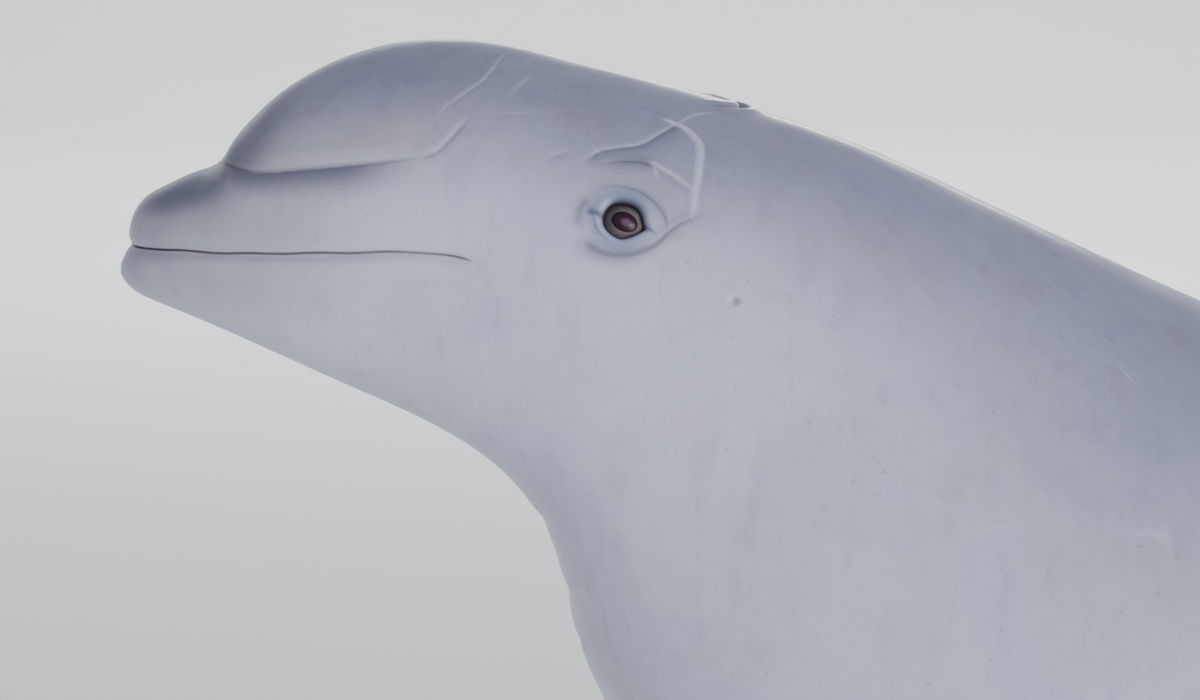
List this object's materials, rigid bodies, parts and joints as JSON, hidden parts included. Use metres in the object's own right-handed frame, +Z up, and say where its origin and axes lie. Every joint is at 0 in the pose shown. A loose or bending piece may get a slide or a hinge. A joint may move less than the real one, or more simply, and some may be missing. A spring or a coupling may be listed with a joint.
{
  "type": "beluga whale model",
  "caption": "Life-size still model of an adult beluga whale, head level and body hanging behind it, held on a flat base by two short rods.",
  "frame": {"origin": "middle of the underside of the stand's base, which rests on the floor", "axes": "+X from the snout towards the flukes, so that the whale faces -X; +Y to the whale's right; +Z up"},
  "size_m": [3.7572, 1.222, 1.6576],
  "materials": {
    "skin": "smooth bluish-white skin with a wet sheen, faint grey mottling and pale scratches",
    "eye": "glossy dark purplish-brown eye with a nearly black pupil",
    "stand_base": "satin charcoal-painted board with faint grain",
    "stand_rod": "satin brushed steel tube with a round foot"
  },
  "bodies": {
    "root": {"head": "skin", "melon": "skin", "lower_jaw": "skin", "neck": "skin", "torso_front": "skin", "torso_rear": "skin", "tail_stock": "skin", "dorsal_ridge": "skin", "flipper_left": "skin", "flipper_right": "skin", "fluke_left": "skin", "fluke_right": "skin", "eye_left": "eye", "eye_right": "eye", "stand_base": "stand_base", "stand_rod_front": "stand_rod", "stand_rod_rear": "stand_rod"}
  },
  "joints": []
}
